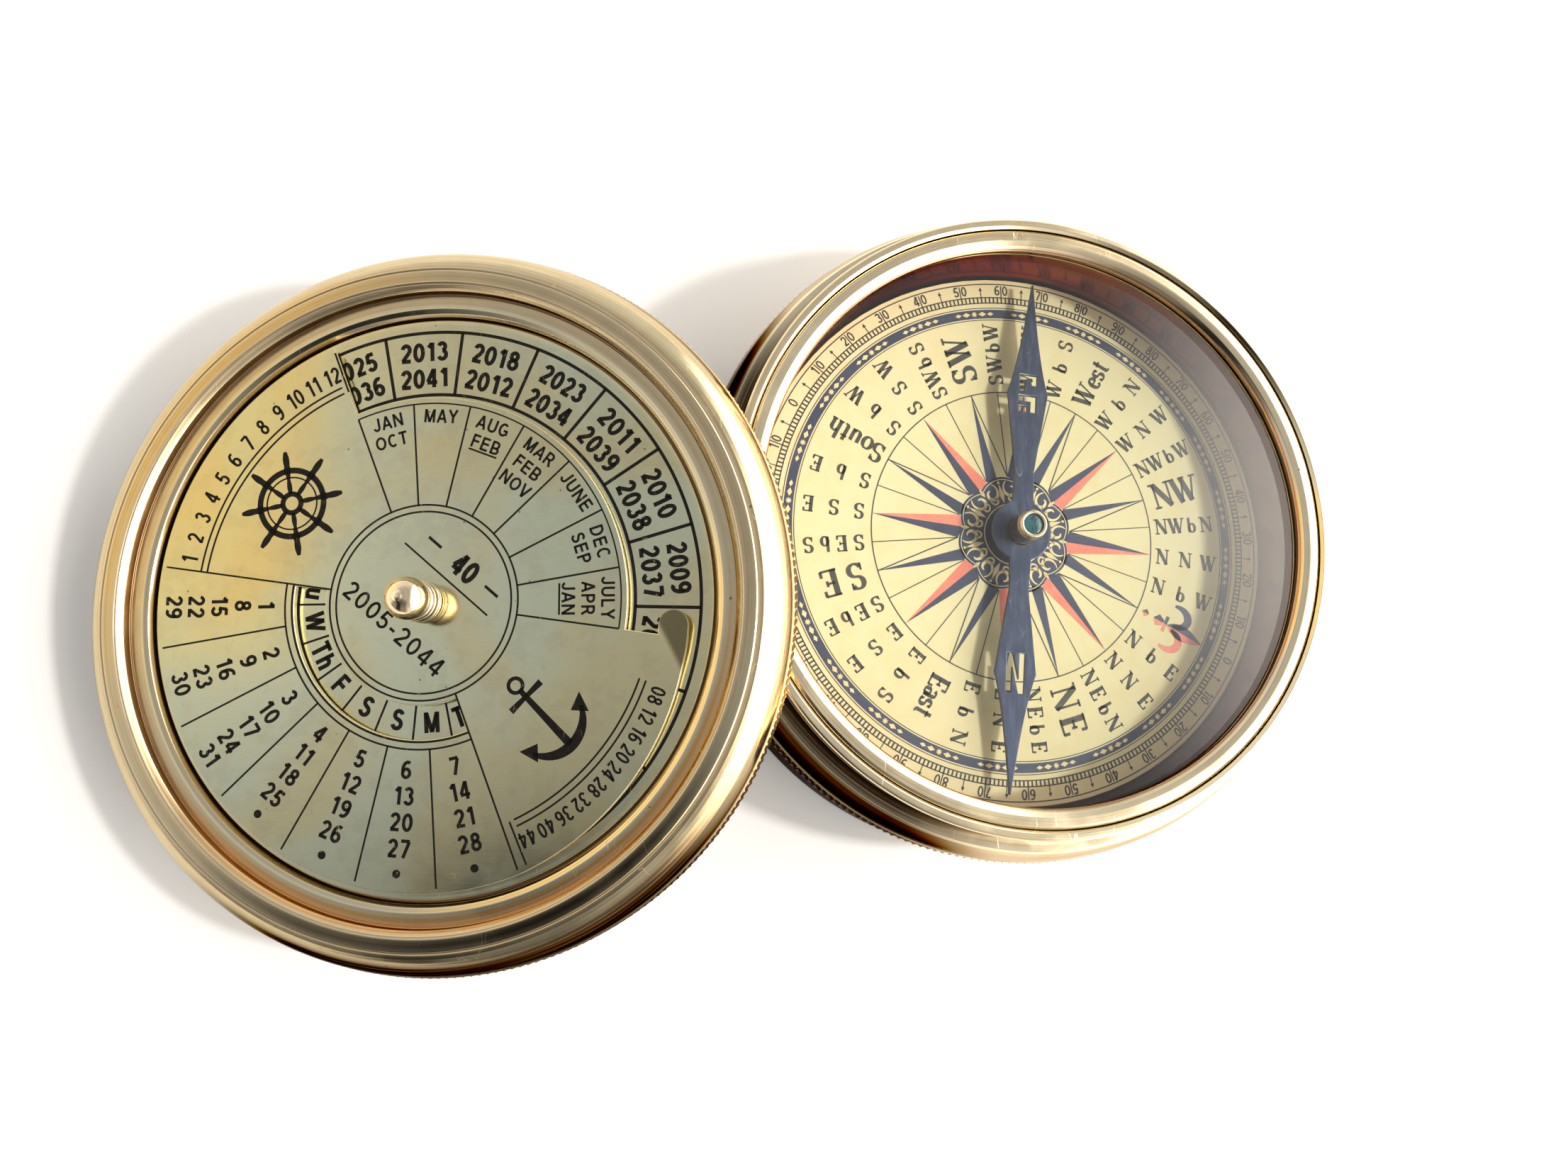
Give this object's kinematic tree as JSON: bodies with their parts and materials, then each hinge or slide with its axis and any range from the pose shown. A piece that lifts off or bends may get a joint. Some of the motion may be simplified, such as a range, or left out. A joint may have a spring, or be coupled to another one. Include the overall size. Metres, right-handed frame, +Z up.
{
  "type": "pocket compass",
  "caption": "Round brass pocket compass with a glazed dial and pivoted needle, its unscrewed lid leaning on the rim and carrying a turning perpetual-calendar plate.",
  "frame": {"origin": "centre of the base's flat underside, on the table", "axes": "+Z up along the base's axis; the lid leans towards -X; +Y completes the frame, away from a viewer who has the lid on the left"},
  "size_m": [0.1395, 0.0865, 0.0299],
  "materials": {
    "case_cup": "turned and polished, knurled edge",
    "dial_plate": "plain sheet",
    "compass_card": "printed paper card",
    "pivot_stud": "turned",
    "pivot_nut": "plain",
    "glass": "clear, flat",
    "retaining_ring": "turned and polished",
    "needle": "blued",
    "needle_cap": "turned",
    "cap_jewel": "polished stone",
    "lid_shell": "turned and polished, knurled edge",
    "year_disc": "printed sheet, lightly tarnished",
    "calendar_plate": "printed sheet, lightly tarnished",
    "knob_washer": "turned",
    "calendar_knob": "turned and polished",
    "spindle_washer": "plain",
    "spindle_screw": "plain"
  },
  "bodies": {
    "base": {"case_cup": "case_cup", "dial_plate": "dial_plate", "compass_card": "compass_card", "pivot_stud": "pivot_stud", "pivot_nut": "pivot_nut", "glass": "glass", "retaining_ring": "retaining_ring"},
    "compass_needle": {"needle": "needle", "needle_cap": "needle_cap", "cap_jewel": "cap_jewel"},
    "lid": {"lid_shell": "lid_shell", "year_disc": "year_disc"},
    "calendar": {"calendar_plate": "calendar_plate", "knob_washer": "knob_washer", "calendar_knob": "calendar_knob", "spindle_washer": "spindle_washer", "spindle_screw": "spindle_screw"}
  },
  "joints": [
    {"name": "needle_turn", "type": "hinge", "parent": "base", "child": "compass_needle", "pos_m": [0, 0, 0.0145], "axis": [0, 0, 1], "continuous": true},
    {"name": "lid_lift", "type": "slide", "parent": "base", "child": "lid", "axis": [0, 0, 1], "range_m": [0, 0.05]},
    {"name": "calendar_turn", "type": "hinge", "parent": "lid", "child": "calendar", "pos_m": [-0.06421, -0.0104, 0.01162], "axis": [-0.3086, -0.05, 0.9499], "continuous": true}
  ]
}
